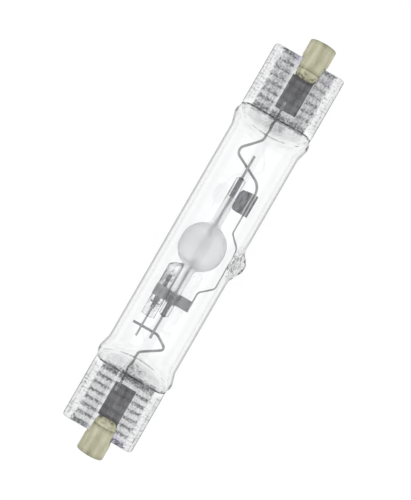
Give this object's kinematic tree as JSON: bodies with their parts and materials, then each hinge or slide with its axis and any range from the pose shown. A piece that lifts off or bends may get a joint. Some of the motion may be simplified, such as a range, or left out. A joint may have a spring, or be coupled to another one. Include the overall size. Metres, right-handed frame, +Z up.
{
  "type": "metal halide lamp",
  "caption": "Double ended discharge lamp: clear quartz bulb with ribbed pinch seals and ceramic caps round a frosted arc tube on bent frame wires.",
  "frame": {"origin": "on the surface that the lamp lies on, below the middle of its length and width", "axes": "+X along the bulb's axis toward the upper end, +Y across the flat of the pinches away from the tip, +Z up and square to that flat; the lamp lies with its pinches flat, on its two shoulders' lower creases"},
  "size_m": [0.1354, 0.0252, 0.0226],
  "materials": {
    "quartz": "clear",
    "cap_ceramic": "matte",
    "cement": "matte",
    "contact_metal": "satin",
    "alumina": "frosted, translucent",
    "frit": "glossy",
    "foil_metal": "satin",
    "getter_steel": "satin",
    "getter_fill": "rough",
    "band_metal": "satin",
    "tungsten": "satin",
    "wire_metal": "satin"
  },
  "bodies": {
    "root": {"outer_bulb": "quartz", "lower_cap": "cap_ceramic", "upper_cap": "cap_ceramic", "lower_cement": "cement", "upper_cement": "cement", "lower_contact": "contact_metal", "upper_contact": "contact_metal", "lower_outer_lead": "wire_metal", "upper_outer_lead": "wire_metal", "lower_foil": "foil_metal", "upper_foil": "foil_metal", "lower_frame_wire": "wire_metal", "upper_frame_wire": "wire_metal", "arc_tube": "alumina", "lower_frit_seal": "frit", "upper_frit_seal": "frit", "lower_niobium_lead": "wire_metal", "upper_niobium_lead": "wire_metal", "lower_feedthrough": "tungsten", "upper_feedthrough": "tungsten", "lower_electrode": "tungsten", "upper_electrode": "tungsten", "lower_electrode_winding": "tungsten", "upper_electrode_winding": "tungsten", "getter_cup": "getter_steel", "getter_fill": "getter_fill", "getter_holder": "getter_steel", "starting_wire": "wire_metal", "enhancer_capsule": "quartz", "enhancer_foil": "foil_metal", "enhancer_lead": "wire_metal", "enhancer_band": "band_metal"}
  },
  "joints": []
}
